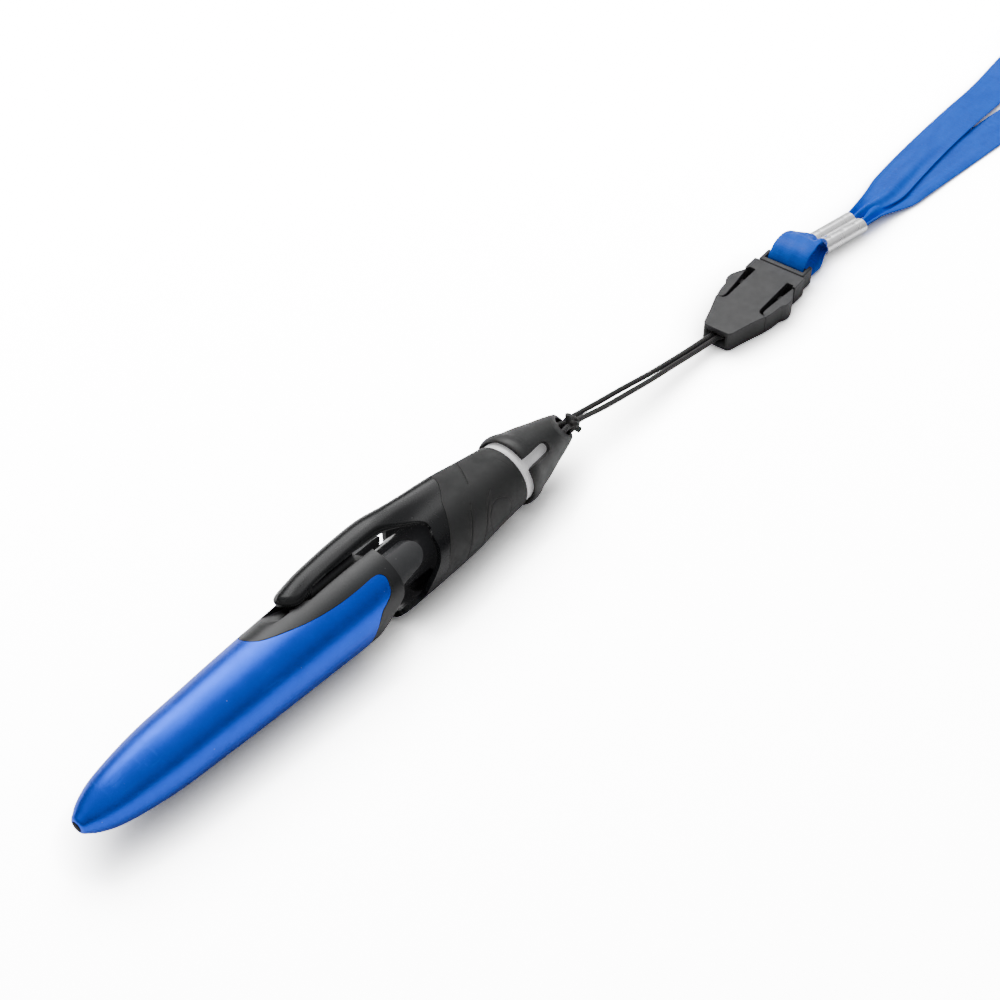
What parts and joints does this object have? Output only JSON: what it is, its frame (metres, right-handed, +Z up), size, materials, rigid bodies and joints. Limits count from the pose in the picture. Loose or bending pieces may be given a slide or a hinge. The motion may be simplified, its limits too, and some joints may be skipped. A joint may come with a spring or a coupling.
{
  "type": "lanyard ballpoint pen",
  "caption": "Push-barrel ballpoint pen with a spring clip, rubber grip and pull-off lanyard cap, tied by a cord to a side-squeeze buckle and a ribbon loop.",
  "frame": {"origin": "centre of the buckle's flat underside, which lies on the table plane", "axes": "+X along the pen's axis towards its nose, the cap and the strap, +Z up from the table, +Y to the left when looking towards the nose"},
  "size_m": [0.4059, 0.0318, 0.0215],
  "materials": {
    "shell_black": "semi-gloss moulded",
    "grip_rubber": "matte with fine incised curves",
    "nose_silver": "satin pearl",
    "barrel_black": "glossy",
    "mech_white": "natural moulded",
    "rear_blue": "satin metallic lacquer",
    "core_black": "satin moulded",
    "refill_plastic": "translucent",
    "tip_brass": "turned",
    "ball_steel": "polished",
    "spring_steel": "drawn wire",
    "cap_black": "matte moulded",
    "cord_black": "braided",
    "buckle_black": "matte moulded",
    "ribbon_blue": "satin weave",
    "crimp_aluminium": "scratched"
  },
  "bodies": {
    "front": {"front_shell": "shell_black", "grip_sleeve": "grip_rubber", "nose_cone": "nose_silver", "inner_barrel": "barrel_black", "cam_sleeve": "mech_white"},
    "clip": {"clip_arm": "shell_black"},
    "rear": {"rear_shell": "rear_blue", "rear_core": "core_black", "tail_plug": "core_black", "plunger": "mech_white"},
    "refill": {"refill_tube": "refill_plastic", "refill_tip": "tip_brass", "writing_ball": "ball_steel", "return_spring": "spring_steel"},
    "rotor": {"cam_rotor": "mech_white"},
    "cap": {"lanyard_cap": "cap_black"},
    "cord": {"cord_loop": "cord_black", "cord_knot": "cord_black"},
    "socket": {"buckle_socket": "buckle_black"},
    "arm_left": {"squeeze_arm_left": "buckle_black"},
    "arm_right": {"squeeze_arm_right": "buckle_black"},
    "plug": {"buckle_plug": "buckle_black"},
    "prong_l": {"prong_left": "buckle_black"},
    "prong_r": {"prong_right": "buckle_black"},
    "strap": {"strap_ribbon": "ribbon_blue", "crimp_sleeve": "crimp_aluminium"}
  },
  "joints": [
    {"name": "push_slide", "type": "slide", "parent": "front", "child": "rear", "axis": [1, 0, 0], "range_m": [0, 0.005], "stiffness_N_per_m": 200},
    {"name": "refill_slide", "type": "slide", "parent": "front", "child": "refill", "axis": [1, 0, 0], "range_m": [0, 0.005], "deforming": ["return_spring"]},
    {"name": "rotor_turn", "type": "hinge", "parent": "refill", "child": "rotor", "pos_m": [-0.16977, 0.00278, 0.0093], "axis": [1, 0, 0], "range_deg": [0, 45]},
    {"name": "clip_flex", "type": "hinge", "parent": "front", "child": "clip", "pos_m": [-0.11507, 0.00805, 0.01964], "axis": [0, 0.891, -0.454], "range_deg": [0, 6], "stiffness_Nm_per_rad": 2},
    {"name": "cap_slide", "type": "slide", "parent": "front", "child": "cap", "axis": [1, 0, 0], "range_m": [0, 0.026]},
    {"name": "cord_swing", "type": "hinge", "parent": "cap", "child": "cord", "pos_m": [-0.07087, 0.00278, 0.0093], "axis": [0, 0, 1], "range_deg": [-10, 10]},
    {"name": "buckle_swing", "type": "hinge", "parent": "cord", "child": "socket", "pos_m": [-0.01178, -0.00072, 0.0026], "axis": [0, 0, 1], "range_deg": [-10, 10]},
    {"name": "squeeze_left", "type": "hinge", "parent": "socket", "child": "arm_left", "pos_m": [-0.00433, 0.00639, 0.0026], "axis": [0, 0, 1], "range_deg": [-5, 0], "stiffness_Nm_per_rad": 0.5},
    {"name": "squeeze_right", "type": "hinge", "parent": "socket", "child": "arm_right", "pos_m": [-0.00348, -0.00758, 0.0026], "axis": [0, 0, 1], "range_deg": [0, 5]},
    {"name": "buckle_release", "type": "slide", "parent": "socket", "child": "plug", "axis": [0.9981, 0.061, 0], "range_m": [0, 0.02], "deforming": ["prong_left", "prong_right"]},
    {"name": "prong_left_flex", "type": "hinge", "parent": "plug", "child": "prong_l", "pos_m": [0.0144, 0.00364, 0.0026], "axis": [0, 0, 1], "range_deg": [0, 7.6]},
    {"name": "prong_right_flex", "type": "hinge", "parent": "plug", "child": "prong_r", "pos_m": [0.01474, -0.00185, 0.0026], "axis": [0, 0, 1], "range_deg": [-7.6, 0]},
    {"name": "strap_swing", "type": "hinge", "parent": "plug", "child": "strap", "pos_m": [0.01861, 0.00114, 0.0026], "axis": [0.061, -0.9981, 0], "range_deg": [-20, 60]}
  ],
  "couplings": [
    {"joint": "refill_slide", "follows": "push_slide", "ratio": 1},
    {"joint": "rotor_turn", "follows": "push_slide", "rad_per_m": 157},
    {"joint": "squeeze_right", "follows": "squeeze_left", "ratio": -1},
    {"joint": "prong_left_flex", "follows": "squeeze_left", "ratio": -1.5},
    {"joint": "prong_right_flex", "follows": "squeeze_left", "ratio": 1.5}
  ]
}
